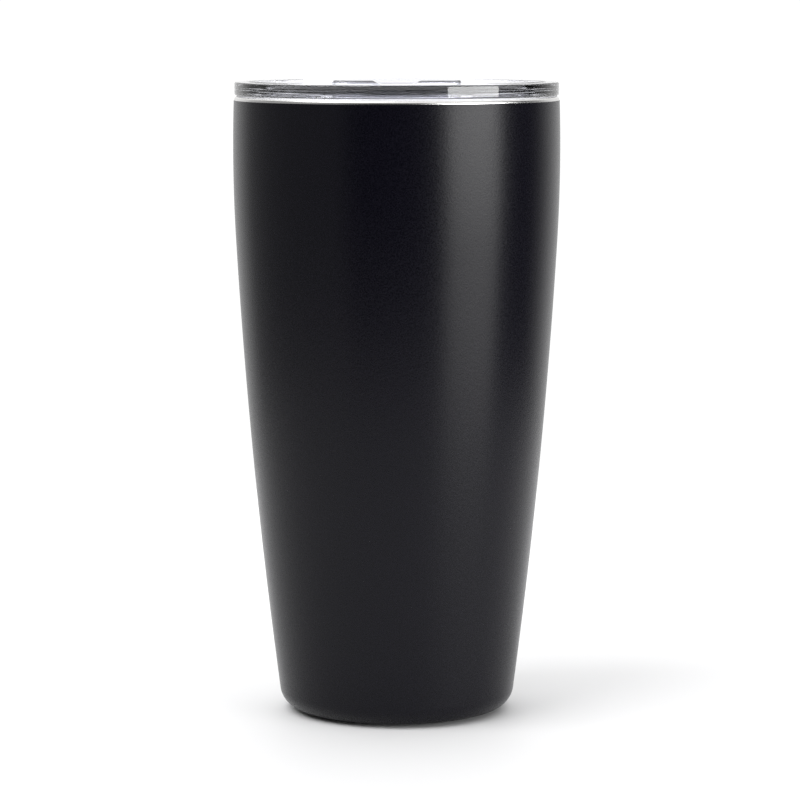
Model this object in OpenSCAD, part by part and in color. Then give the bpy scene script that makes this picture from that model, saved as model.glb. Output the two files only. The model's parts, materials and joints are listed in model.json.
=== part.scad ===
// Vacuum-insulated drinking tumbler with a clear press-in lid and a sliding drink closure.
// Millimetres. +Z is up, and the origin is the centre of the face that the tumbler stands on.
// The drinking slot is on the -Y side of the lid. The slider is open at rest, and closes towards -Y.

/* [Cup] */
// Largest outside diameter of the cup, near the top
cup_d = 88; // [87:0.5:92]
// Height of the coated outer wall, where the bare steel lip starts
coat_top = 165.7; // [150:0.1:180]
// Sheet thickness of every steel wall
steel_t = 0.5; // [0.4:0.05:0.7]
// Radius of the rounded corner round the foot
foot_corner_r = 6; // [5:0.5:7]
// Inside diameter of the mouth, where the lid's plug goes in
mouth_d = 82.4; // [80:0.1:83]
// Height of the bare steel lip above the coated wall
lip_h = 1.2; // [1:0.1:1.8]

/* [Lid] */
// Outside diameter of the lid's flange
flange_d = 87.2; // [84:0.1:88]
// Thickness of the lid's flange
flange_t = 3.65; // [3:0.05:5]
// Diameter of the dish in the top of the lid
dish_d = 73.8; // [70:0.1:75]
// Depth of the dish below the top of the lid
dish_depth = 7.15; // [6.5:0.05:8]
// Travel of the slider from open to closed
slide_travel = 14; // [12:0.5:14.5]

/* [Hidden] */

$fn = 128;
tiny = 0.01;

// Outer profile of the cup: an upper arc with its widest point near the top, and a long lower arc tangent to it.
cup_r = cup_d / 2;
widest_z = coat_top - 13.7;
upper_arc_r = 430;
knee_z = widest_z - 24;
lower_arc_r = 1640;
knee_sin = (widest_z - knee_z) / upper_arc_r;
knee_cos = sqrt(1 - knee_sin * knee_sin);
knee_r = cup_r - upper_arc_r * (1 - knee_cos);
lower_centre_r = knee_r - lower_arc_r * knee_cos;
lower_centre_z = knee_z + lower_arc_r * knee_sin;

function outer_r(z) = z > knee_z
    ? cup_r - upper_arc_r + sqrt(pow(upper_arc_r, 2) - pow(z - widest_z, 2))
    : lower_centre_r + sqrt(pow(lower_arc_r, 2) - pow(z - lower_centre_z, 2));

// Base pan, pressed with a rounded corner, a foot ring and a raised centre that the pad sits in.
base_joint_z = 9;          // butt weld between the pan and the outer wall
foot_ring_z = 0.5;         // the pad stands this far proud of the pan
pad_recess_h = 2.3;        // height of the raised centre's underside
foot_wall_slope = (outer_r(base_joint_z + 1) - outer_r(base_joint_z - 1)) / 2;
foot_wall_tilt = atan(foot_wall_slope);
corner_centre_z = foot_ring_z + foot_corner_r;
corner_centre_r = outer_r(base_joint_z) + foot_wall_slope * (corner_centre_z - base_joint_z)
    - foot_corner_r / cos(foot_wall_tilt);
foot_ring_in_r = corner_centre_r - 2.6;
pad_r = foot_ring_in_r - 0.6;
dimple_r = 5;
dimple_h = 1.4;
evac_hole_r = 0.9;

// Inner cup. Its wall follows a cone with a slight belly, and stands straight in the mouth.
mouth_r = mouth_d / 2;
lip_top = coat_top + lip_h;
coat_t = 0.1;              // the bare lip is flush with the steel under the coat
lip_out_r = outer_r(coat_top) - coat_t;
lip_in_round = 0.6;
lip_out_round = min(lip_h, lip_out_r - mouth_r - lip_in_round) - 0.05;
mouth_straight_z = coat_top - 14;
inner_floor_z = 11;
inner_corner_r = 7;
inner_joint_z = inner_floor_z + inner_corner_r + 1;
inner_floor_r = outer_r(inner_floor_z) - 4.9;
inner_belly = 1.6;
function inner_r(z) = z > mouth_straight_z ? mouth_r
    : let (t = (z - inner_floor_z) / (mouth_straight_z - inner_floor_z))
      inner_floor_r + (mouth_r - inner_floor_r) * t + 4 * inner_belly * t * (1 - t);

// Copper foil round the inner cup, in the vacuum gap.
foil_low_z = 30;
foil_high_z = mouth_straight_z - 6.7;
foil_gap = 0.1;
foil_t = 0.1;

// Getter, on the pan's vacuum side.
getter_x = 13;
getter_r = 4;
getter_h = 2.2;

// Lid.
lid_seat_gap = 0.05;       // clearance under the flange, so that lid and lip touch without overlap
flange_r = flange_d / 2;
flange_z = lip_top + lid_seat_gap;
lid_top = flange_z + flange_t;
plug_r = mouth_r - 0.8;
plug_low_z = flange_z - 9.8;
skirt_t = 2.1;
dish_r = dish_d / 2;
dish_floor_z = lid_top - dish_depth;
dish_floor_t = 2;
rim_slope_h = 2.3;         // height and radial width of the sloped shoulder inside the rim
rim_slope_w = 3.3;
groove_low_z = plug_low_z + 2.4;
groove_h = 4.4;
groove_r = plug_r - 1.2;

// Drinking slot, vent and slider track in the floor of the dish.
slot_w = 14;
slot_l = 6;
vent_y = 25;
vent_r = 1.5;
track_clear = 0.2;         // sliding clearance on every side of the slider
floor_round = 1.5;         // fillet round the floor of the dish
dish_draft = 0.4;
slider_w = 36;
slider_l = 30;
slider_front_r = dish_r - dish_draft - floor_round - 0.7;
slider_shut_y = -slider_front_r;
slider_open_y = slider_shut_y + slide_travel;
slot_y = slider_shut_y + 6.3;
tongue_w = 1.8;
tongue_t = 1.3;
rail_t = 1.4;
rail_lip_t = 1;
rail_front_y = -20;
rail_back_y = slider_open_y + slider_l + track_clear + rail_t;
rail_in_x = slider_w / 2 + track_clear;
slider_z = dish_floor_z + track_clear;
slider_corner_r = 3;
grip_y = slider_open_y + 17.5;
grip_top_z = lid_top + 0.5;
grip_w = 34.6;
grip_l = 8;
grip_dip_r = 12;
grip_dip_d = 1.9;
seal_margin = 1.6;
seal_t = 1.1;
seal_gap = 0.06;

// Points of an arc about (cr, cz), from angle a0 to a1, for a profile in (radius, height).
function arc(cr, cz, r, a0, a1, steps = 8) =
    [for (i = [0 : steps]) let (a = a0 + (a1 - a0) * i / steps) [cr + r * cos(a), cz + r * sin(a)]];

// Evenly spaced heights from low to high.
function heights(low, high, steps) = [for (i = [0 : steps]) low + (high - low) * i / steps];

module turned(points) {
    rotate_extrude($fn = 180) polygon(points);
}

// A flat plate with round corners, centred on x, between two y values.
module round_plate(w, y0, y1, corner, t) {
    linear_extrude(t)
        hull()
            for (sx = [-1, 1], y = [y0 + corner, y1 - corner])
                translate([sx * (w / 2 - corner), y]) circle(corner, $fn = 32);
}

// A slot shape with round ends, along x.
module long_hole(w, l, t) {
    linear_extrude(t) {
        square([w - l, l], center = true);
        for (sx = [-1, 1]) translate([sx * (w - l) / 2, 0]) circle(l / 2);
    }
}

// Coated outer wall, from the butt weld up to its inward edge under the bare lip.
module outer_wall() {
    edge = 0.15;
    neck_r = mouth_r + steel_t + tiny;
    levels = heights(base_joint_z, coat_top - edge, 30);
    inner_levels = heights(base_joint_z, coat_top - steel_t, 24);
    color("#141419")
        turned(concat(
            [for (z = levels) [outer_r(z), z]],
            [[outer_r(coat_top) - edge, coat_top], [neck_r, coat_top]],
            [[neck_r, coat_top - steel_t]],
            [for (i = [len(inner_levels) - 1 : -1 : 0])
                [outer_r(inner_levels[i]) - steel_t, inner_levels[i]]]
        ));
}

// Base pan in section, as a closed strip one sheet thick.
module outer_base() {
    t = steel_t;
    r_in = foot_corner_r - t;
    end_angle = -foot_wall_tilt;
    step_r = 0.5;
    color("#141419")
        difference() {
            turned(concat(
                [[outer_r(base_joint_z) - t, base_joint_z]],
                arc(corner_centre_r, corner_centre_z, r_in, end_angle, -90, 12),
                arc(foot_ring_in_r + t + step_r, foot_ring_z + t + step_r, step_r, -90, -180, 4),
                arc(foot_ring_in_r + t - step_r, pad_recess_h + t - step_r, step_r, 0, 90, 4),
                [[dimple_r + t, pad_recess_h + t], [dimple_r, pad_recess_h + t + dimple_h]],
                [[0, pad_recess_h + t + dimple_h], [0, pad_recess_h + dimple_h]],
                [[dimple_r - t, pad_recess_h + dimple_h], [dimple_r, pad_recess_h]],
                [[foot_ring_in_r, pad_recess_h], [foot_ring_in_r, foot_ring_z + step_r]],
                arc(foot_ring_in_r + step_r, foot_ring_z + step_r, step_r, 180, 270, 4),
                arc(corner_centre_r, corner_centre_z, foot_corner_r, -90, end_angle, 12),
                [[outer_r(base_joint_z), base_joint_z]]
            ));
            translate([0, 0, pad_recess_h]) cylinder(r = evac_hole_r, h = 4);
        }
}

// Solder-glass bead that closes the evacuation hole in the dimple.
module glass_seal() {
    bead_r = 3;
    color("#2b3a33")
        union() {
            translate([0, 0, pad_recess_h + dimple_h - 1])
                cylinder(r = bead_r, h = 1);
            translate([0, 0, pad_recess_h + dimple_h - tiny])
                cylinder(r = evac_hole_r - tiny, h = steel_t);
        }
}

// Sheet cup that holds the getter against the pan.
module getter_holder() {
    t = 0.3;
    color("silver")
        translate([getter_x, 0, pad_recess_h + steel_t])
            turned([
                [0, 0], [getter_r, 0], [getter_r, getter_h], [getter_r - t, getter_h],
                [getter_r - t, t], [0, t]
            ]);
}

// Pressed powder pellet that takes up stray gas in the vacuum gap.
module getter_pellet() {
    color("dimgray")
        translate([getter_x, 0, pad_recess_h + steel_t + 0.3])
            cylinder(r = getter_r - 0.3 - tiny, h = getter_h - 0.6);
}

// Soft non-slip pad that the tumbler stands on, with shallow ring grooves.
module foot_pad() {
    groove_d = 0.4;
    edge = 0.4;
    color("#1c1c1e")
        difference() {
            turned([
                [0, 0], [pad_r - edge, 0], [pad_r, edge],
                [pad_r, pad_recess_h - 0.2], [0, pad_recess_h - 0.2]
            ]);
            for (r = [pad_r - 4, pad_r - 7])
                translate([0, 0, -tiny])
                    difference() {
                        cylinder(r = r, h = groove_d);
                        translate([0, 0, -1]) cylinder(r = r - 1, h = groove_d + 2);
                    }
        }
}

// Double-sided adhesive between the pad and the pan, clear of the dimple.
module foot_pad_adhesive() {
    color("gainsboro")
        translate([0, 0, pad_recess_h - 0.2])
            difference() {
                cylinder(r = pad_r - 1, h = 0.2);
                translate([0, 0, -1]) cylinder(r = dimple_r + 1, h = 3);
            }
}

// Inner cup wall with its rolled lip, which shows as the bare steel band under the lid.
module inner_wall() {
    levels = heights(inner_joint_z, mouth_straight_z, 24);
    color("silver")
        turned(concat(
            [for (z = levels) [inner_r(z), z]],
            arc(mouth_r + lip_in_round, lip_top - lip_in_round, lip_in_round, 180, 90, 6),
            arc(lip_out_r - lip_out_round, lip_top - lip_out_round, lip_out_round, 90, 0, 8),
            [[lip_out_r, coat_top], [mouth_r + steel_t, coat_top]],
            [for (i = [len(levels) - 1 : -1 : 0]) [inner_r(levels[i]) + steel_t, levels[i]]]
        ));
}

// Domed bottom of the inner cup, welded to the inner wall.
module inner_base() {
    r = inner_corner_r;
    wall_r = inner_r(inner_joint_z);
    crown = 1;
    dome_r = wall_r - r;
    steps = 8;
    color("silver")
        turned(concat(
            [for (i = [0 : steps]) let (s = i / steps)
                [dome_r * s, inner_floor_z + crown * (1 - s * s)]],
            arc(dome_r, inner_floor_z + r, r, -82, 0, 8),
            [[wall_r, inner_joint_z], [wall_r + steel_t, inner_joint_z]],
            arc(dome_r, inner_floor_z + r, r + steel_t, 0, -82, 8),
            [for (i = [steps : -1 : 0]) let (s = i / steps)
                [dome_r * s, inner_floor_z + crown * (1 - s * s) - steel_t]]
        ));
}

// Thin foil sleeve that turns radiant heat back.
module radiation_foil() {
    levels = heights(foil_low_z, foil_high_z, 16);
    in_gap = steel_t + foil_gap;
    color("#b87333")
        turned(concat(
            [for (z = levels) [inner_r(z) + in_gap, z]],
            [for (i = [len(levels) - 1 : -1 : 0])
                [inner_r(levels[i]) + in_gap + foil_t, levels[i]]]
        ));
}

// Sealing ring with two fins, in the groove of the lid's plug.
module lid_gasket() {
    low = groove_low_z + 0.1;
    high = groove_low_z + groove_h - 0.1;
    in_r = groove_r + 0.06;
    band_r = plug_r + 0.1;
    fin_r = mouth_r - 0.06;
    fin_t = 0.6;
    function fin(z) = [[band_r, z - fin_t], [fin_r - 0.15, z], [fin_r, z + 0.15], [band_r, z + fin_t]];
    color("whitesmoke")
        turned(concat(
            [[in_r, low], [band_r, low]],
            fin(low + 1.2), fin(low + 3),
            [[band_r, high], [in_r, high]]
        ));
}

// Clear lid: flange, plug with its groove, dish with a sloped shoulder, slot, vent and slider track.
module lid_body() {
    top_round = 0.5;
    low_round = 0.6;
    color("aliceblue", 0.4)
        difference() {
            union() {
                turned(concat(
                    [[0, dish_floor_z - dish_floor_t], [plug_r - skirt_t - 1, dish_floor_z - dish_floor_t]],
                    [[plug_r - skirt_t, dish_floor_z - dish_floor_t - 1], [plug_r - skirt_t, plug_low_z]],
                    [[plug_r - 0.9, plug_low_z], [plug_r - 0.2, plug_low_z + 0.7]],
                    [[plug_r, groove_low_z], [groove_r, groove_low_z]],
                    [[groove_r, groove_low_z + groove_h], [plug_r, groove_low_z + groove_h]],
                    [[plug_r, flange_z]],
                    arc(flange_r - low_round, flange_z + low_round, low_round, -90, 0, 4),
                    arc(flange_r - top_round, lid_top - top_round, top_round, 0, 90, 6),
                    [[dish_r + rim_slope_w, lid_top], [dish_r, lid_top - rim_slope_h]],
                    arc(dish_r - dish_draft - floor_round, dish_floor_z + floor_round, floor_round, 0, -90, 6),
                    [[0, dish_floor_z]]
                ));
                slider_rails();
            }
            translate([0, slot_y, dish_floor_z - dish_floor_t - 1])
                long_hole(slot_w, slot_l, dish_floor_t + 2);
            translate([0, vent_y, dish_floor_z - dish_floor_t - 1])
                cylinder(r = vent_r, h = dish_floor_t + 2, $fn = 48);
        }
}

// Two rails with inward lips, which hold the slider's tongues down, and a stop across their back ends.
module slider_rails() {
    wall_h = tongue_t + 2 * track_clear;
    rail_l = rail_back_y - rail_front_y;
    z0 = dish_floor_z - tiny;
    for (side = [0, 1])
        mirror([side, 0, 0])
            translate([rail_in_x, rail_front_y, z0]) {
                cube([rail_t, rail_l, wall_h + rail_lip_t + tiny]);
                translate([-tongue_w, 0, wall_h + tiny])
                    cube([tongue_w + tiny, rail_l, rail_lip_t]);
            }
    translate([-rail_in_x - tiny, rail_back_y - rail_t, z0])
        cube([2 * (rail_in_x + tiny), rail_t, wall_h + rail_lip_t + tiny]);
}

// A flat plate whose front follows the round wall of the dish, drawn where the slider is shut.
module slider_plate(w, l, front_r, t) {
    intersection() {
        cylinder(r = front_r, h = t);
        round_plate(w, -front_r - 10, -slider_front_r + l, slider_corner_r, t);
    }
}

// Slider: a plate with a tongue along each side, a raised middle and a thumb ridge with a dip in it.
module slider() {
    mid_w = slider_w - 2 * tongue_w - 2 * track_clear;
    mid_t = tongue_t + track_clear + rail_lip_t + 0.6;
    color("aliceblue", 0.5)
        difference() {
            union() {
                translate([0, slide_travel, slider_z]) {
                    slider_plate(slider_w, slider_l, slider_front_r, tongue_t);
                    slider_plate(mid_w, slider_l - 0.6, slider_front_r - 0.6, mid_t);
                }
                translate([0, grip_y, slider_z + mid_t - tiny])
                    long_hole(grip_w, grip_l, grip_top_z - slider_z - mid_t + tiny);
            }
            translate([0, grip_y, grip_top_z + grip_dip_r - grip_dip_d])
                rotate([90, 0, 0]) cylinder(r = grip_dip_r, h = 2 * grip_l, center = true);
            translate([0, slot_y + slide_travel, slider_z - tiny])
                long_hole(slot_w + 2 * seal_margin + 0.1, slot_l + 2 * seal_margin + 0.1, seal_t + tiny);
        }
}

// Soft pad in the slider's underside, which covers the drinking slot when the slider is shut.
module slider_seal() {
    color("whitesmoke")
        translate([0, slot_y + slide_travel, dish_floor_z + seal_gap])
            long_hole(slot_w + 2 * seal_margin, slot_l + 2 * seal_margin, seal_t + track_clear - seal_gap);
}

outer_wall();
outer_base();
glass_seal();
getter_holder();
getter_pellet();
foot_pad();
foot_pad_adhesive();
inner_wall();
inner_base();
radiation_foil();
lid_gasket();
lid_body();
slider();
slider_seal();
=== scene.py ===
"""Insulated tumbler with a clear sliding lid: meshes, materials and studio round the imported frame.

Metres, +Z up. The origin is the centre of the face that the tumbler stands on, and the slot is at -Y.
"""

import json
import math

import bmesh
import bpy
from mathutils import Matrix, Vector


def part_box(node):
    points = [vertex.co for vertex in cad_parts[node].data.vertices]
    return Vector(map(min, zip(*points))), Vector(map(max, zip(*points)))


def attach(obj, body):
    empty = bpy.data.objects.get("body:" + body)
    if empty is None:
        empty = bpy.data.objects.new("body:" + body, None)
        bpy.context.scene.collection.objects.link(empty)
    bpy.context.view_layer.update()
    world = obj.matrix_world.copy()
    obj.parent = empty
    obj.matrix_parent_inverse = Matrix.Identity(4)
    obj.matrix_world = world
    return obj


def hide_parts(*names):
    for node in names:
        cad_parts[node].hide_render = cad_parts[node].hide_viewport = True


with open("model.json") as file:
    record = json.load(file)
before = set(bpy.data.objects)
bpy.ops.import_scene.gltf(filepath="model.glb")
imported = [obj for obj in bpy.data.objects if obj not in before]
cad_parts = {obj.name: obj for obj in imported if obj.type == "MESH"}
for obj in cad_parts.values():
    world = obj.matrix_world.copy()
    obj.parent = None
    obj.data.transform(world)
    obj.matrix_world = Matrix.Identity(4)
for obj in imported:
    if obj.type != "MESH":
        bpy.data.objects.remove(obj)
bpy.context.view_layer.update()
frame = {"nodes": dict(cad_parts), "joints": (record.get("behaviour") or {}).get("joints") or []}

JOINTS = {joint["name"]: joint for joint in frame["joints"]}

MM = 0.001
SAME_POINT = 1e-7


# ---------------------------------------------------------------- sizes and places

def radius_of(node):
    low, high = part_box(node)
    return max(high[0] - low[0], high[1] - low[1]) / 2


def bottom_of(node):
    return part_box(node)[0][2]


def top_of(node):
    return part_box(node)[1][2]


# Cup: the outer wall is a short upper arc, widest near the top, and a long lower arc tangent to it.
CUP_R = radius_of("outer_wall")
COAT_TOP = top_of("outer_wall")
PAN_SEAM = bottom_of("outer_wall")
STEEL = 0.5 * MM
WIDEST_Z = COAT_TOP - 13.7 * MM
KNEE_Z = WIDEST_Z - 24 * MM
UPPER_ARC = 430 * MM
LOWER_ARC = 1640 * MM
KNEE_SIN = (WIDEST_Z - KNEE_Z) / UPPER_ARC
KNEE_COS = math.sqrt(1 - KNEE_SIN ** 2)
LOWER_CENTRE_R = CUP_R - UPPER_ARC * (1 - KNEE_COS) - LOWER_ARC * KNEE_COS
LOWER_CENTRE_Z = KNEE_Z + LOWER_ARC * KNEE_SIN

# Inner cup and its rolled lip.
LIP_TOP = top_of("inner_wall")
LIP_R = radius_of("inner_wall")
MOUTH_R = 41.2 * MM
LIP_OUT_ROUND = LIP_TOP - COAT_TOP - 0.05 * MM
LIP_IN_ROUND = 0.6 * MM
MOUTH_LOW = COAT_TOP - 14 * MM
INNER_SEAM = bottom_of("inner_wall")
FLOOR_Z = bottom_of("inner_base") + STEEL
FLOOR_CORNER = 7 * MM
WALLS_AND_GAP = 4.9 * MM
BELLY = 1.6 * MM

# Base pan and pad.
PAN_LOW = bottom_of("outer_base")
CORNER_R = 6 * MM
RECESS_Z = top_of("foot_pad") + 0.2 * MM
PAD_R = radius_of("foot_pad")

# Lid.
LID_TOP = top_of("lid_body")
PLUG_LOW = bottom_of("lid_body")
FLANGE_R = radius_of("lid_body")
FLANGE_Z = LIP_TOP + 0.05 * MM
PLUG_R = MOUTH_R - 0.8 * MM
SKIRT = 2.1 * MM
DISH_R = 36.9 * MM
DISH_Z = bottom_of("slider") - 0.2 * MM
DISH_FLOOR = 2 * MM
DISH_ROUND = 1.5 * MM
RIM_SLOPE_H = 2.3 * MM
RIM_SLOPE_W = 3.3 * MM
GROOVE_LOW = bottom_of("lid_gasket") - 0.1 * MM
GROOVE_TOP = top_of("lid_gasket") + 0.1 * MM
GROOVE_R = PLUG_R - 1.2 * MM

# Slot, vent and slider track.
SLOT_Y = -28 * MM
SLOT_W = 14 * MM
SLOT_L = 6 * MM
VENT_Y = 25 * MM
VENT_R = 1.5 * MM
SLIDER_LOW, SLIDER_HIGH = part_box("slider")
SLIDER_W = SLIDER_HIGH[0] - SLIDER_LOW[0]
CLEAR = 0.2 * MM
TONGUE_W = 1.8 * MM
TONGUE_T = 1.3 * MM
RAIL_T = 1.4 * MM
RAIL_LIP = 1.0 * MM
RAIL_FRONT = -20 * MM
RAIL_BACK = SLIDER_HIGH[1] + CLEAR + RAIL_T
TRAVEL = JOINTS["slider_shut"]["range_m"][1]

# Thumb ridge with its dip, and the seal's pad in its pocket.
RIDGE_W = 34.6 * MM
RIDGE_L = 8 * MM
RIDGE_FROM_FRONT = 17.5 * MM
DIP_R = 12 * MM
DIP_DEPTH = 1.9 * MM
MIDDLE_STEP = 0.6 * MM
POCKET_MARGIN = 3.3 * MM
SEAL_MARGIN = 3.2 * MM

# Studio: places in metres, lens and sensor in millimetres, turns in degrees.
CAMERA_PLACE = (0, -0.905, 0.1905)
CAMERA_DOWN = 6.68
CAMERA_TURN = -0.056
LENS = 151
SENSOR = 36
TABLE_R = 0.42
TABLE_T = 8 * MM
WHITE = 1.05


# ---------------------------------------------------------------- mesh tools

def rounded(corners, steps=6):
    """An outline in (radius, height). A corner with a third number is rounded with that radius."""
    outline = []
    count = len(corners)
    for i, corner in enumerate(corners):
        here = Vector(corner[:2])
        if len(corner) == 2:
            outline.append(here)
            continue
        to_last = (Vector(corners[i - 1][:2]) - here).normalized()
        to_next = (Vector(corners[(i + 1) % count][:2]) - here).normalized()
        half = to_last.angle(to_next) / 2
        centre = here + (to_last + to_next).normalized() * corner[2] / math.sin(half)
        start = here + to_last * corner[2] / math.tan(half) - centre
        end = here + to_next * corner[2] / math.tan(half) - centre
        turn = start.angle_signed(end)
        for k in range(steps + 1):
            angle = -turn * k / steps
            spun = Matrix.Rotation(angle, 2) @ start
            outline.append(centre + spun)
    return outline


def piece_from(name, mesh_data, body, nodes, material):
    """A named piece that rides on a body and stands for its CAD nodes."""
    mesh = bpy.data.meshes.new(name)
    mesh_data.to_mesh(mesh)
    mesh_data.free()
    obj = bpy.data.objects.new(name, mesh)
    bpy.context.scene.collection.objects.link(obj)
    obj.data.materials.append(material)
    finish_surface(obj)
    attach(obj, body)
    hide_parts(*nodes)
    return obj


def finish_surface(obj, sharp_degrees=32, flat_weight=60):
    """Smooth shading that keeps flats flat and true edges sharp."""
    mesh = obj.data
    for face in mesh.polygons:
        face.use_smooth = True
    mesh.set_sharp_from_angle(angle=math.radians(sharp_degrees))
    weighted = obj.modifiers.new("weighted_normals", "WEIGHTED_NORMAL")
    weighted.keep_sharp = True
    weighted.weight = flat_weight


def turned(outline, segments=256):
    """A bmesh turned about Z from a closed outline. Points on the axis become single poles."""
    bm = bmesh.new()
    rings = []
    for r, z in outline:
        if r < SAME_POINT:
            rings.append([bm.verts.new((0, 0, z))])
            continue
        ring = []
        for k in range(segments):
            angle = math.tau * k / segments
            ring.append(bm.verts.new((r * math.cos(angle), r * math.sin(angle), z)))
        rings.append(ring)
    for a, b in zip(rings, rings[1:] + rings[:1]):
        if len(a) == 1 and len(b) == 1:
            continue
        for k in range(segments):
            n = (k + 1) % segments
            if len(a) == 1:
                bm.faces.new((a[0], b[n], b[k]))
            elif len(b) == 1:
                bm.faces.new((a[k], a[n], b[0]))
            else:
                bm.faces.new((a[k], a[n], b[n], b[k]))
    bmesh.ops.recalc_face_normals(bm, faces=bm.faces)
    return bm


def stadium(w, l, steps=24):
    """The outline of a slot shape along X with round ends, counter-clockwise."""
    half = (w - l) / 2
    points = []
    for side in (1, -1):
        for k in range(steps + 1):
            angle = math.pi * (k / steps - 0.5) + (0 if side > 0 else math.pi)
            points.append(Vector((side * half + l / 2 * math.cos(angle), l / 2 * math.sin(angle))))
    return points


def stacked(layers):
    """A closed bmesh from a stack of equal-length outlines, each given as (points, height)."""
    bm = bmesh.new()
    rings = []
    for points, z in layers:
        rings.append([bm.verts.new((p[0], p[1], z)) for p in points])
    for a, b in zip(rings, rings[1:]):
        for k in range(len(a)):
            n = (k + 1) % len(a)
            bm.faces.new((a[k], a[n], b[n], b[k]))
    bm.faces.new(list(reversed(rings[0])))
    bm.faces.new(rings[-1])
    bmesh.ops.recalc_face_normals(bm, faces=bm.faces)
    return bm


def shifted(points, x, y):
    return [Vector((p[0] + x, p[1] + y)) for p in points]


def with_boolean(bm, tool, operation):
    """bm after a boolean with tool, as a new bmesh. Both are used up."""
    objects = []
    for source in (bm, tool):
        mesh = bpy.data.meshes.new("work")
        source.to_mesh(mesh)
        source.free()
        obj = bpy.data.objects.new("work", mesh)
        bpy.context.scene.collection.objects.link(obj)
        objects.append(obj)
    base, other = objects
    boolean = base.modifiers.new("boolean", "BOOLEAN")
    boolean.operation = operation
    boolean.object = other
    boolean.solver = "EXACT"
    bpy.context.view_layer.update()
    depsgraph = bpy.context.evaluated_depsgraph_get()
    result = bmesh.new()
    result.from_mesh(base.evaluated_get(depsgraph).to_mesh())
    for obj in objects:
        bpy.data.objects.remove(obj)
    return result


# ---------------------------------------------------------------- material tools

class Shader:
    """A node material with a Principled surface, and short calls for the nodes it needs."""

    def __init__(self, name, color, roughness, metallic=0.0, **sockets):
        self.material = bpy.data.materials.new(name)
        self.material.use_nodes = True
        self.tree = self.material.node_tree
        self.surface = self.tree.nodes["Principled BSDF"]
        self.surface.inputs["Base Color"].default_value = (*color, 1)
        self.surface.inputs["Roughness"].default_value = roughness
        self.surface.inputs["Metallic"].default_value = metallic
        for socket, value in sockets.items():
            self.surface.inputs[socket.replace("_", " ")].default_value = value

    def add(self, kind, **settings):
        node = self.tree.nodes.new(kind)
        for key, value in settings.items():
            setattr(node, key, value)
        return node

    def link(self, output, socket):
        self.tree.links.new(output, socket)

    def position(self):
        return self.add("ShaderNodeTexCoord").outputs["Object"]

    def math(self, operation, a, b=None):
        node = self.add("ShaderNodeMath", operation=operation)
        for value, socket in zip((a, b), node.inputs):
            if isinstance(value, (int, float)):
                socket.default_value = value
            elif value is not None:
                self.link(value, socket)
        return node.outputs[0]

    def noise(self, vector, scale, detail=2.0, roughness=0.5, distortion=0.0):
        node = self.add("ShaderNodeTexNoise")
        self.link(vector, node.inputs["Vector"])
        node.inputs["Scale"].default_value = scale
        node.inputs["Detail"].default_value = detail
        node.inputs["Roughness"].default_value = roughness
        node.inputs["Distortion"].default_value = distortion
        return node.outputs["Fac"]

    def ranged(self, value, low, high, from_low=0.3, from_high=0.7):
        node = self.add("ShaderNodeMapRange")
        self.link(value, node.inputs["Value"])
        node.inputs["From Min"].default_value = from_low
        node.inputs["From Max"].default_value = from_high
        node.inputs["To Min"].default_value = low
        node.inputs["To Max"].default_value = high
        return node.outputs["Result"]

    def tinted(self, value, dark, light):
        node = self.add("ShaderNodeMix", data_type="RGBA")
        self.link(value, node.inputs["Factor"])
        node.inputs["A"].default_value = (*dark, 1)
        node.inputs["B"].default_value = (*light, 1)
        self.link(node.outputs["Result"], self.surface.inputs["Base Color"])

    def bump(self, height, distance, strength=1.0, below=None):
        node = self.add("ShaderNodeBump")
        node.inputs["Distance"].default_value = distance
        node.inputs["Strength"].default_value = strength
        self.link(height, node.inputs["Height"])
        if below is not None:
            self.link(below, node.inputs["Normal"])
        self.link(node.outputs["Normal"], self.surface.inputs["Normal"])
        return node.outputs["Normal"]

    def round_coordinates(self, metres_a_radian=0.0006):
        """(radius, scaled angle, height) about the Z axis, for brushing that runs round the cup."""
        split = self.add("ShaderNodeSeparateXYZ")
        self.link(self.position(), split.inputs[0])
        x, y, z = split.outputs
        squares = self.math("ADD", self.math("MULTIPLY", x, x), self.math("MULTIPLY", y, y))
        radius = self.math("SQRT", squares)
        angle = self.math("ARCTAN2", y, x)
        join = self.add("ShaderNodeCombineXYZ")
        self.link(radius, join.inputs[0])
        self.link(self.math("MULTIPLY", angle, metres_a_radian), join.inputs[1])
        self.link(z, join.inputs[2])
        return join.outputs[0]


def powder_coat():
    """Near-black satin powder coat: fine grain over a faint orange peel."""
    s = Shader("powder_coat", (0.004, 0.004, 0.007), 0.28, Specular_IOR_Level=0.18)
    grain = s.noise(s.position(), 2400, detail=2)
    peel = s.noise(s.position(), 700, detail=1)
    s.tinted(s.ranged(grain, 0, 1), (0.0015, 0.0014, 0.0032), (0.0034, 0.0031, 0.0062))
    s.link(s.ranged(grain, 0.24, 0.31), s.surface.inputs["Roughness"])
    under = s.bump(peel, 0.02 * MM, 0.5)
    s.bump(grain, 0.03 * MM, 0.6, below=under)
    return s.material


def brushed_steel(name, dark, light, roughness):
    """Stainless steel, brushed round the axis."""
    s = Shader(name, light, 0.26, metallic=1.0, Anisotropic=0.6)
    lines = s.noise(s.round_coordinates(), 5200, detail=3, roughness=0.65)
    cloud = s.noise(s.position(), 60, detail=3)
    s.tinted(s.ranged(cloud, 0, 1), dark, light)
    s.link(s.ranged(lines, *roughness), s.surface.inputs["Roughness"])
    s.bump(lines, 0.004 * MM, 0.7)
    tangent = s.add("ShaderNodeTangent", direction_type="RADIAL", axis="Z")
    s.link(tangent.outputs[0], s.surface.inputs["Tangent"])
    return s.material


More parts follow.
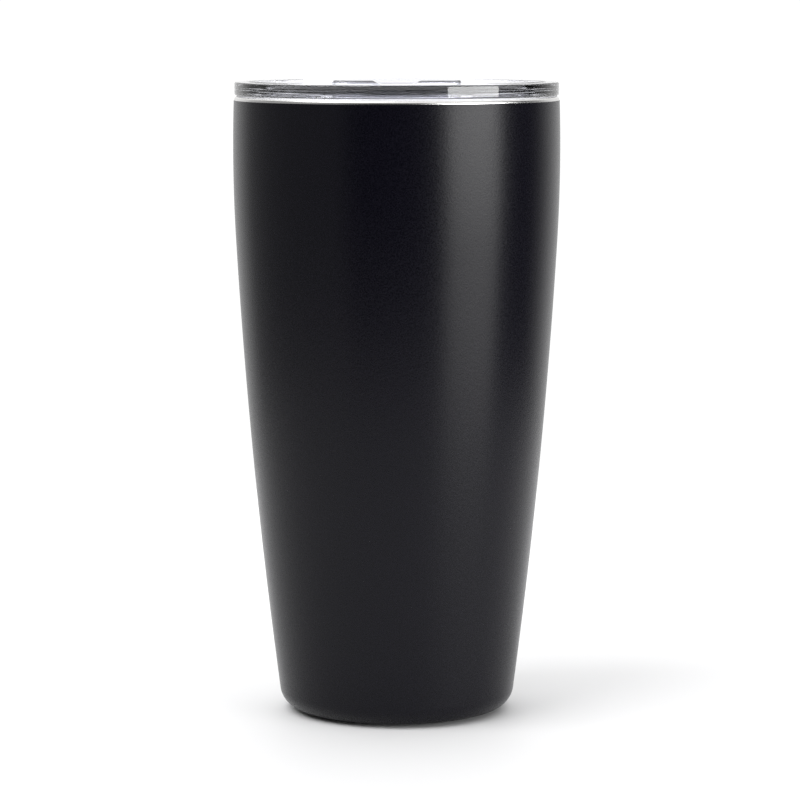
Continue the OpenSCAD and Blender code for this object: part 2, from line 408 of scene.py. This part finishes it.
def clear_plastic():
    """Clear moulded copolyester with faint flow waves and handling haze."""
    s = Shader("clear_plastic", (0.81, 0.815, 0.86), 0.03, IOR=1.55, Transmission_Weight=1.0)
    flow = s.noise(s.position(), 90, detail=1)
    haze = s.noise(s.position(), 420, detail=4, roughness=0.7)
    s.link(s.ranged(haze, 0.005, 0.03), s.surface.inputs["Roughness"])
    s.bump(flow, 0.04 * MM, 0.25)
    return s.material


def clear_silicone():
    """Milky translucent silicone with a satin skin."""
    s = Shader("clear_silicone", (0.86, 0.87, 0.88), 0.42, IOR=1.41, Transmission_Weight=0.55)
    skin = s.noise(s.position(), 1500, detail=2)
    cloud = s.noise(s.position(), 130, detail=2)
    s.tinted(s.ranged(cloud, 0, 1), (0.82, 0.83, 0.84), (0.90, 0.905, 0.91))
    s.link(s.ranged(skin, 0.36, 0.5), s.surface.inputs["Roughness"])
    s.bump(skin, 0.01 * MM, 0.4)
    return s.material


def black_silicone():
    """Matte black silicone with a fine moulded texture."""
    s = Shader("black_silicone", (0.014, 0.014, 0.015), 0.62)
    skin = s.noise(s.position(), 1800, detail=3)
    dust = s.noise(s.position(), 220, detail=4)
    s.tinted(s.ranged(dust, 0, 1, 0.45, 0.8), (0.011, 0.011, 0.012), (0.024, 0.024, 0.025))
    s.link(s.ranged(skin, 0.52, 0.7), s.surface.inputs["Roughness"])
    s.bump(skin, 0.03 * MM, 0.6)
    return s.material


def copper_foil():
    """Bright copper foil with soft creases."""
    s = Shader("copper_foil", (0.86, 0.46, 0.30), 0.22, metallic=1.0)
    crease = s.noise(s.position(), 160, detail=4, roughness=0.6, distortion=0.6)
    tone = s.noise(s.position(), 45, detail=2)
    s.tinted(s.ranged(tone, 0, 1), (0.80, 0.41, 0.26), (0.90, 0.52, 0.35))
    s.link(s.ranged(crease, 0.16, 0.32), s.surface.inputs["Roughness"])
    s.bump(crease, 0.15 * MM, 0.5)
    return s.material


def solder_glass():
    """Dark green fused glass bead."""
    s = Shader("solder_glass", (0.05, 0.08, 0.06), 0.08, IOR=1.6)
    s.tinted(s.noise(s.position(), 900, detail=3), (0.03, 0.05, 0.04), (0.07, 0.11, 0.08))
    s.bump(s.noise(s.position(), 500, detail=1), 0.05 * MM, 0.4)
    return s.material


def pressed_powder():
    """Dark grey pressed getter powder."""
    s = Shader("pressed_powder", (0.12, 0.12, 0.12), 0.85)
    grain = s.noise(s.position(), 3200, detail=3)
    s.tinted(grain, (0.07, 0.07, 0.07), (0.19, 0.185, 0.18))
    s.bump(grain, 0.06 * MM, 0.8)
    return s.material


def adhesive_film():
    """Off-white acrylic adhesive film."""
    s = Shader("adhesive_film", (0.75, 0.75, 0.72), 0.5)
    s.tinted(s.noise(s.position(), 300, detail=3), (0.70, 0.70, 0.66), (0.79, 0.79, 0.76))
    s.bump(s.noise(s.position(), 700, detail=2), 0.03 * MM, 0.5)
    return s.material


# ---------------------------------------------------------------- cup

def outer_r(z):
    """Radius of the coated outer wall at a height."""
    if z > KNEE_Z:
        return CUP_R - UPPER_ARC + math.sqrt(UPPER_ARC ** 2 - (z - WIDEST_Z) ** 2)
    return LOWER_CENTRE_R + math.sqrt(LOWER_ARC ** 2 - (z - LOWER_CENTRE_Z) ** 2)


def inner_r(z):
    """Radius of the drink space at a height."""
    if z > MOUTH_LOW:
        return MOUTH_R
    low_r = outer_r(FLOOR_Z) - WALLS_AND_GAP
    t = (z - FLOOR_Z) / (MOUTH_LOW - FLOOR_Z)
    return low_r + (MOUTH_R - low_r) * t + 4 * BELLY * t * (1 - t)


def heights(low, high, steps):
    return [low + (high - low) * k / steps for k in range(steps + 1)]


def arc(cr, cz, r, start, end, steps=10):
    """Points of an arc about (cr, cz), between two angles in degrees."""
    angles = [math.radians(start + (end - start) * k / steps) for k in range(steps + 1)]
    return [(cr + r * math.cos(a), cz + r * math.sin(a)) for a in angles]


def outer_wall(material):
    edge = 0.15 * MM
    neck = MOUTH_R + STEEL + 0.01 * MM
    outside = [(outer_r(z), z) for z in heights(PAN_SEAM, COAT_TOP - edge, 60)]
    shoulder = arc(outer_r(COAT_TOP) - edge, COAT_TOP - edge, edge, 15, 90, 5)
    inside = [(outer_r(z) - STEEL, z) for z in reversed(heights(PAN_SEAM, COAT_TOP - STEEL, 24))]
    under = [(neck, COAT_TOP), (neck, COAT_TOP - STEEL)]
    bm = turned(outside + shoulder + under + inside)
    return piece_from("outer_wall_coated", bm, "cup", ["outer_wall"], material)


def outer_base(material):
    slope = (outer_r(PAN_SEAM + MM) - outer_r(PAN_SEAM - MM)) / (2 * MM)
    tilt = math.degrees(math.atan(slope))
    centre_z = PAN_LOW + CORNER_R
    centre_r = outer_r(PAN_SEAM) + slope * (centre_z - PAN_SEAM)
    centre_r -= CORNER_R / math.cos(math.radians(tilt))
    ring_w = 2.6 * MM
    ring_in = centre_r - ring_w
    edge = 0.5 * MM
    t = STEEL
    dimple_r = 5 * MM
    dimple_h = 1.4 * MM
    dimple_z = RECESS_Z + dimple_h
    outline = [(outer_r(PAN_SEAM) - t, PAN_SEAM)]
    outline += arc(centre_r, centre_z, CORNER_R - t, -tilt, -90, 16)
    outline += arc(ring_in + t + edge, PAN_LOW + t + edge, edge, -90, -180, 5)
    outline += arc(ring_in + t - edge, RECESS_Z + t - edge, edge, 0, 90, 5)
    outline += [(dimple_r + t, RECESS_Z + t), (dimple_r, dimple_z + t), (0, dimple_z + t)]
    outline += [(0, dimple_z), (dimple_r - t, dimple_z), (dimple_r, RECESS_Z), (ring_in, RECESS_Z)]
    outline += arc(ring_in + edge, PAN_LOW + edge, edge, 180, 270, 6)
    outline += arc(centre_r, centre_z, CORNER_R, -90, -tilt, 24)
    outline += [(outer_r(PAN_SEAM), PAN_SEAM)]
    return piece_from("outer_base_coated", turned(outline), "cup", ["outer_base"], material)


def inner_wall(material, lip_painted_highlight_material):
    inside = [(inner_r(z), z) for z in heights(INNER_SEAM, MOUTH_LOW, 36)]
    bead = arc(MOUTH_R + LIP_IN_ROUND, LIP_TOP - LIP_IN_ROUND, LIP_IN_ROUND, 180, 90, 10)
    bead += arc(LIP_R - LIP_OUT_ROUND, LIP_TOP - LIP_OUT_ROUND, LIP_OUT_ROUND, 90, 0, 16)
    neck = [(LIP_R, COAT_TOP), (MOUTH_R + STEEL, COAT_TOP)]
    outside = [(inner_r(z) + STEEL, z) for z in reversed(heights(INNER_SEAM, MOUTH_LOW, 36))]
    bm = turned(inside + bead + neck + outside)
    obj = piece_from("inner_wall_steel", bm, "cup", ["inner_wall"], material)
    obj.data.materials.append(lip_painted_highlight_material)
    # The lip's faces take the lighter copy of the steel, a painted highlight.
    painted_highlight_low = LIP_TOP - LIP_OUT_ROUND - 0.2 * MM
    for face in obj.data.polygons:
        if face.center.z > painted_highlight_low:
            face.material_index = 1
    return obj


def inner_base(material):
    crown = MM
    steps = 12
    meets_dome = -82
    wall_r = inner_r(INNER_SEAM)
    dome_r = wall_r - FLOOR_CORNER
    corner_z = FLOOR_Z + FLOOR_CORNER
    dome = [(dome_r * k / steps, FLOOR_Z + crown * (1 - (k / steps) ** 2)) for k in range(steps)]
    corner = arc(dome_r, corner_z, FLOOR_CORNER, meets_dome, 0, 14)
    seam = [(wall_r, INNER_SEAM), (wall_r + STEEL, INNER_SEAM)]
    outside = arc(dome_r, corner_z, FLOOR_CORNER + STEEL, 0, meets_dome, 14)
    under = [(r, z - STEEL) for r, z in reversed(dome)]
    bm = turned(dome + corner + seam + outside + under)
    return piece_from("inner_base_steel", bm, "cup", ["inner_base"], material)


def foot_pad(material):
    top = top_of("foot_pad")
    groove_w = MM
    groove_h = 0.4 * MM
    outline = [(0, 0)]
    for r in (PAD_R - 8 * MM, PAD_R - 5 * MM):
        outline += [(r, 0, 0.15 * MM), (r, groove_h, 0.1 * MM)]
        outline += [(r + groove_w, groove_h, 0.1 * MM), (r + groove_w, 0, 0.15 * MM)]
    outline += [(PAD_R, 0, 0.4 * MM), (PAD_R, top, 0.2 * MM), (0, top)]
    return piece_from("foot_pad_silicone", turned(rounded(outline, 4)), "cup", ["foot_pad"], material)


# ---------------------------------------------------------------- lid

def lid_solid():
    """The turned body of the lid: flange, plug with its gasket groove, and dish with a sloped rim."""
    skirt_in = PLUG_R - SKIRT
    floor_low = DISH_Z - DISH_FLOOR
    wall_foot = DISH_R - 0.4 * MM
    corners = [
        (0, floor_low),
        (skirt_in, floor_low, 1.0 * MM),
        (skirt_in, PLUG_LOW, 0.4 * MM),
        (PLUG_R - 0.4 * MM, PLUG_LOW, 0.8 * MM),
        (PLUG_R, GROOVE_LOW, 0.2 * MM),
        (GROOVE_R, GROOVE_LOW, 0.2 * MM),
        (GROOVE_R, GROOVE_TOP, 0.2 * MM),
        (PLUG_R, GROOVE_TOP, 0.2 * MM),
        (PLUG_R, FLANGE_Z, 0.3 * MM),
        (FLANGE_R, FLANGE_Z, 0.6 * MM),
        (FLANGE_R, LID_TOP, 0.5 * MM),
        (DISH_R + RIM_SLOPE_W, LID_TOP, 1.2 * MM),
        (DISH_R, LID_TOP - RIM_SLOPE_H, 1.2 * MM),
        (wall_foot, DISH_Z, DISH_ROUND),
        (0, DISH_Z),
    ]
    return turned(rounded(corners, 8), segments=320)


def flared_slot(w, l, y):
    """A cutter for a slot through the dish floor, whose ends flare to round the slot's edges."""
    low = DISH_Z - DISH_FLOOR
    flare = 0.5 * MM
    angles = [math.radians(degrees) for degrees in (0, 22, 45, 68, 90)]
    layers = [(low - MM, flare)]
    layers += [(low + flare * math.sin(a), flare * (1 - math.cos(math.pi / 2 - a))) for a in angles]
    layers += [(DISH_Z - flare + flare * (1 - math.cos(a)), flare * (1 - math.sin(math.pi / 2 - a)))
               for a in angles]
    layers += [(DISH_Z + MM, flare)]
    return stacked([(shifted(stadium(w + 2 * grow, l + 2 * grow), 0, y), z) for z, grow in layers])


def rail_solid():
    """Both slider rails with their inward lips and the stop behind them, as one closed solid."""
    wall_h = TONGUE_T + 2 * CLEAR
    high = wall_h + RAIL_LIP
    inner = SLIDER_W / 2 + CLEAR
    sink = 0.5 * MM
    short_of_back = 0.2 * MM
    section = [(inner, -sink), (inner + RAIL_T, -sink), (inner + RAIL_T, high),
               (inner - TONGUE_W, high), (inner - TONGUE_W, wall_h), (inner, wall_h)]
    solid = None
    for side in (-1, 1):
        bm = bmesh.new()
        ends = []
        for y in (RAIL_FRONT, RAIL_BACK - short_of_back):
            ends.append([bm.verts.new((side * x, y, DISH_Z + z)) for x, z in section])
        bm.faces.new(ends[0])
        bm.faces.new(ends[1])
        for k in range(len(section)):
            n = (k + 1) % len(section)
            bm.faces.new((ends[0][k], ends[0][n], ends[1][n], ends[1][k]))
        bmesh.ops.recalc_face_normals(bm, faces=bm.faces)
        solid = bm if solid is None else with_boolean(solid, bm, "UNION")
    stop = bmesh.new()
    bmesh.ops.create_cube(stop, size=1)
    width = 2 * (inner + RAIL_T)
    size = Vector((width, RAIL_T, high + sink))
    place = Vector((0, RAIL_BACK - RAIL_T / 2, DISH_Z + (high - sink) / 2))
    for v in stop.verts:
        v.co = Vector(c * s for c, s in zip(v.co, size)) + place
    solid = with_boolean(solid, stop, "UNION")
    round_edges(solid, 0.25 * MM, lambda v: v.co.z > DISH_Z - 0.3 * MM)
    return solid


def round_edges(bm, width, keep, segments=3, degrees=40):
    """Rounds the sharp outward edges whose ends both pass keep."""
    bmesh.ops.remove_doubles(bm, verts=bm.verts, dist=SAME_POINT)
    bmesh.ops.dissolve_limit(bm, angle_limit=math.radians(0.5), verts=bm.verts, edges=bm.edges)
    sharp = []
    for edge in bm.edges:
        if edge.is_convex and edge.calc_face_angle() > math.radians(degrees):
            if keep(edge.verts[0]) and keep(edge.verts[1]):
                sharp.append(edge)
    bmesh.ops.bevel(bm, geom=sharp, offset=width, segments=segments, profile=0.5,
                    affect="EDGES", clamp_overlap=True)


def lid_body(material):
    just_wider = 1e-5  # keeps the two half circles of the round vent apart
    bm = with_boolean(lid_solid(), rail_solid(), "UNION")
    bm = with_boolean(bm, flared_slot(SLOT_W, SLOT_L, SLOT_Y), "DIFFERENCE")
    bm = with_boolean(bm, flared_slot(2 * VENT_R + just_wider, 2 * VENT_R, VENT_Y), "DIFFERENCE")
    return piece_from("lid_body_clear", bm, "lid", ["lid_body"], material)


def lid_gasket(material):
    low = bottom_of("lid_gasket")
    high = top_of("lid_gasket")
    back = GROOVE_R + 0.06 * MM
    band = PLUG_R + 0.1 * MM
    tip = radius_of("lid_gasket")
    fin_slope = 0.6 * MM
    fin_tip = 0.2 * MM
    corners = [(back, low, 0.2 * MM), (band, low, 0.2 * MM)]
    for z in (low + 1.2 * MM, low + 3 * MM):
        corners += [(band, z - fin_slope, 0.1 * MM), (tip, z, 0.12 * MM)]
        corners += [(tip, z + fin_tip, 0.08 * MM), (band, z + fin_slope, 0.1 * MM)]
    corners += [(band, high, 0.2 * MM), (back, high, 0.2 * MM)]
    return piece_from("lid_gasket_ring", turned(rounded(corners, 4)), "gasket", ["lid_gasket"], material)


# ---------------------------------------------------------------- slider

def plate_outline(w, back_y, front_r, corner, steps=10, front_steps=24):
    """A plate with a front edge round the dish's centre, drawn with the slider shut."""

    def on_corner(x, y, angle):
        return Vector((x + corner * math.cos(angle), y + corner * math.sin(angle)))

    half = w / 2
    front_angle = math.asin((half - corner) / (front_r - corner))
    points = []
    for k in range(front_steps + 1):
        angle = -front_angle + 2 * front_angle * k / front_steps
        points.append(Vector((front_r * math.sin(angle), -front_r * math.cos(angle))))
    corner_y = -(front_r - corner) * math.cos(front_angle)
    for k in range(1, steps + 1):
        angle = front_angle - math.pi / 2 + (math.pi / 2 - front_angle) * k / steps
        points.append(on_corner(half - corner, corner_y, angle))
    for side, start in ((1, 0), (-1, math.pi / 2)):
        for k in range(steps + 1):
            angle = start + math.pi / 2 * k / steps
            points.append(on_corner(side * (half - corner), back_y - corner, angle))
    for k in range(steps):
        angle = math.pi + (math.pi / 2 - front_angle) * k / steps
        points.append(on_corner(-(half - corner), corner_y, angle))
    return points


def softened(outline_at, low, high, edge, steps=4):
    """A prism whose top and bottom edges are rounded. outline_at(inset) gives each layer's outline."""
    layers = []
    for k in range(steps + 1):
        a = math.pi / 2 * k / steps
        layers.append((outline_at(edge * (1 - math.sin(a))), low + edge * (1 - math.cos(a))))
    for k in range(steps + 1):
        a = math.pi / 2 * k / steps
        layers.append((outline_at(edge * (1 - math.cos(a))), high - edge * (1 - math.sin(a))))
    return stacked(layers)


def slider(material):
    low = SLIDER_LOW[2]
    top = SLIDER_HIGH[2]
    front_r = -(SLIDER_LOW[1] - TRAVEL)
    back_y = SLIDER_HIGH[1] - TRAVEL
    rail_top = low + TONGUE_T + CLEAR + RAIL_LIP
    mid_w = SLIDER_W - 2 * TONGUE_W - 2 * CLEAR
    mid_back = back_y - MIDDLE_STEP
    mid_front = front_r - MIDDLE_STEP
    mid_top = rail_top + MIDDLE_STEP
    ridge_y = SLIDER_LOW[1] + RIDGE_FROM_FRONT
    ridge_low = rail_top + CLEAR

    def plate(inset):
        points = plate_outline(SLIDER_W - 2 * inset, back_y - inset, front_r - inset, 3 * MM - inset)
        return shifted(points, 0, TRAVEL)

    def middle(inset):
        points = plate_outline(mid_w - 2 * inset, mid_back - inset, mid_front - inset, 2.6 * MM - inset)
        return shifted(points, 0, TRAVEL)

    def ridge(inset):
        return shifted(stadium(RIDGE_W - 2 * inset, RIDGE_L - 2 * inset), 0, ridge_y)

    bm = softened(plate, low, low + TONGUE_T, 0.25 * MM)
    bm = with_boolean(bm, softened(middle, low + 0.1 * MM, mid_top, 0.4 * MM), "UNION")
    bm = with_boolean(bm, softened(ridge, ridge_low, top, 0.7 * MM), "UNION")
    reach = 10 * MM
    dip = turned([(0, -reach), (DIP_R, -reach), (DIP_R, reach), (0, reach)], segments=160)
    bmesh.ops.rotate(dip, matrix=Matrix.Rotation(math.pi / 2, 3, "X"), verts=dip.verts)
    bmesh.ops.translate(dip, vec=(0, ridge_y, top + DIP_R - DIP_DEPTH), verts=dip.verts)
    bm = with_boolean(bm, dip, "DIFFERENCE")
    pocket_top = low + 1.1 * MM
    pocket_outline = shifted(stadium(SLOT_W + POCKET_MARGIN, SLOT_L + POCKET_MARGIN), 0, SLOT_Y + TRAVEL)
    pocket = stacked([(pocket_outline, low - MM), (pocket_outline, pocket_top)])
    bm = with_boolean(bm, pocket, "DIFFERENCE")
    return piece_from("slider_clear", bm, "closure", ["slider"], material)


def slider_seal(material):
    low = bottom_of("slider_seal")
    high = top_of("slider_seal")
    pad_w = SLOT_W + SEAL_MARGIN
    pad_l = SLOT_L + SEAL_MARGIN

    def pad(inset):
        return shifted(stadium(pad_w - 2 * inset, pad_l - 2 * inset), 0, SLOT_Y + TRAVEL)

    bm = softened(pad, low, high, 0.3 * MM)
    return piece_from("slider_seal_pad", bm, "closure", ["slider_seal"], material)


# ---------------------------------------------------------------- studio

def camera():
    """Long lens a little above the lid, looking along +Y and slightly down."""
    data = bpy.data.cameras.new("camera")
    data.sensor_width = SENSOR
    data.lens = LENS
    obj = bpy.data.objects.new("camera", data)
    obj.location = CAMERA_PLACE
    obj.rotation_euler = (math.radians(90 - CAMERA_DOWN), 0, math.radians(CAMERA_TURN))
    bpy.context.scene.collection.objects.link(obj)
    bpy.context.scene.camera = obj


def floor():
    """Round white table top with its edge out of sight against the white surroundings."""
    bm = turned([(0, -TABLE_T), (TABLE_R, -TABLE_T), (TABLE_R, 0), (0, 0)], segments=128)
    mesh = bpy.data.meshes.new("floor")
    bm.to_mesh(mesh)
    bm.free()
    obj = bpy.data.objects.new("floor", mesh)
    bpy.context.scene.collection.objects.link(obj)
    s = Shader("floor_white", (0.75, 0.75, 0.755), 0.6)
    mottling = s.noise(s.position(), 12, detail=2)
    s.tinted(mottling, (0.745, 0.745, 0.75), (0.755, 0.755, 0.76))
    mesh.materials.append(s.material)


def surroundings():
    """White to the camera. To everything else, soft panels of light by direction over black:
    a backdrop, an overhead, a strong strip at the right front, a high fill at the left front,
    a dim wall at the left and a faint dome.
    """
    world = bpy.data.worlds.new("studio")
    bpy.context.scene.world = world
    world.use_nodes = True
    tree = world.node_tree
    tree.nodes.clear()
    add = tree.nodes.new

    def calc(operation, a, b=0.0):
        node = add("ShaderNodeMath")
        node.operation = operation
        for value, socket in zip((a, b), node.inputs):
            if isinstance(value, (int, float)):
                socket.default_value = value
            else:
                tree.links.new(value, socket)
        return node.outputs[0]

    def between(value, low, high, soft, soft_low=None):
        """1 inside low to high, falling to 0 over the soft width outside."""
        sides = []
        for start, end in ((low - (soft_low or soft), low), (high + soft, high)):
            node = add("ShaderNodeMapRange")
            node.interpolation_type = "SMOOTHSTEP"
            tree.links.new(value, node.inputs["Value"])
            node.inputs["From Min"].default_value = start
            node.inputs["From Max"].default_value = end
            sides.append(node.outputs["Result"])
        return calc("MULTIPLY", *sides)

    direction = add("ShaderNodeTexCoord").outputs["Generated"]
    split = add("ShaderNodeSeparateXYZ")
    tree.links.new(direction, split.inputs[0])
    x, y, z = split.outputs
    degrees = 180 / math.pi
    # In degrees: side is 0 at the camera and 90 at +X, turn is its size, height is above the floor.
    side = calc("MULTIPLY", calc("ARCTAN2", x, calc("MULTIPLY", y, -1.0)), degrees)
    turn = calc("ABSOLUTE", side)
    height = calc("MULTIPLY", calc("ARCSINE", z), degrees)

    # Where each panel is across and up, and its strength.
    all_round = 1.0
    panels = {
        "backdrop": (between(turn, 145, 190, 40), between(height, -30, 55, 12), 1.0),
        "overhead": (all_round, between(height, 40, 95, 20), 1.15),
        "strip": (between(side, 36.5, 75.5, 1), between(height, 8, 14, 8, 30), 11.5),
        "fill": (between(side, -80, -30, 10), between(height, 42, 72, 10), 4.0),
        "left_wall": (between(side, -112, -42, 12), between(height, -30, 14, 12), 0.4),
        "dome": (all_round, between(height, 0, 95, 8), 0.02),
    }
    total = 0.0
    for name, (across, up, strength) in panels.items():
        scaled = calc("MULTIPLY", calc("MULTIPLY", across, up), strength)
        scaled.node.name = name
        total = calc("ADD", total, scaled)
    seen = add("ShaderNodeLightPath").outputs["Is Camera Ray"]
    pick = add("ShaderNodeMix")
    tree.links.new(seen, pick.inputs["Factor"])
    tree.links.new(total, pick.inputs[2])
    pick.inputs[3].default_value = WHITE
    background = add("ShaderNodeBackground")
    background.inputs["Color"].default_value = (1, 1, 1, 1)
    tree.links.new(pick.outputs[0], background.inputs["Strength"])
    tree.links.new(background.outputs[0], add("ShaderNodeOutputWorld").inputs["Surface"])
    bpy.context.scene.view_settings.view_transform = "Standard"


# ---------------------------------------------------------------- assembly

coat = powder_coat()
# The lip's steel is a lighter copy of the cup's steel: its lighter colour is a painted highlight, and
# its lower roughness is a smoother finish.
lip_steel_painted_highlight = brushed_steel("lip_steel_painted_highlight", (0.66, 0.655, 0.645), (0.74, 0.735, 0.725), (0.16, 0.28))
steel = brushed_steel("brushed_steel", (0.53, 0.525, 0.52), (0.61, 0.605, 0.60), (0.26, 0.40))
plastic = clear_plastic()
silicone = clear_silicone()

outer_wall(coat)
outer_base(coat)
inner_wall(steel, lip_steel_painted_highlight)
inner_base(steel)
foot_pad(black_silicone())
lid_body(plastic)
lid_gasket(silicone)
slider(plastic)
slider_seal(silicone)

HIDDEN = {"radiation_foil": copper_foil(), "glass_seal": solder_glass(), "getter_holder": steel,
          "getter_pellet": pressed_powder(), "foot_pad_adhesive": adhesive_film()}
for node, material in HIDDEN.items():
    for material_slot in frame["nodes"][node].material_slots:
        material_slot.material = material

camera()
floor()
surroundings()
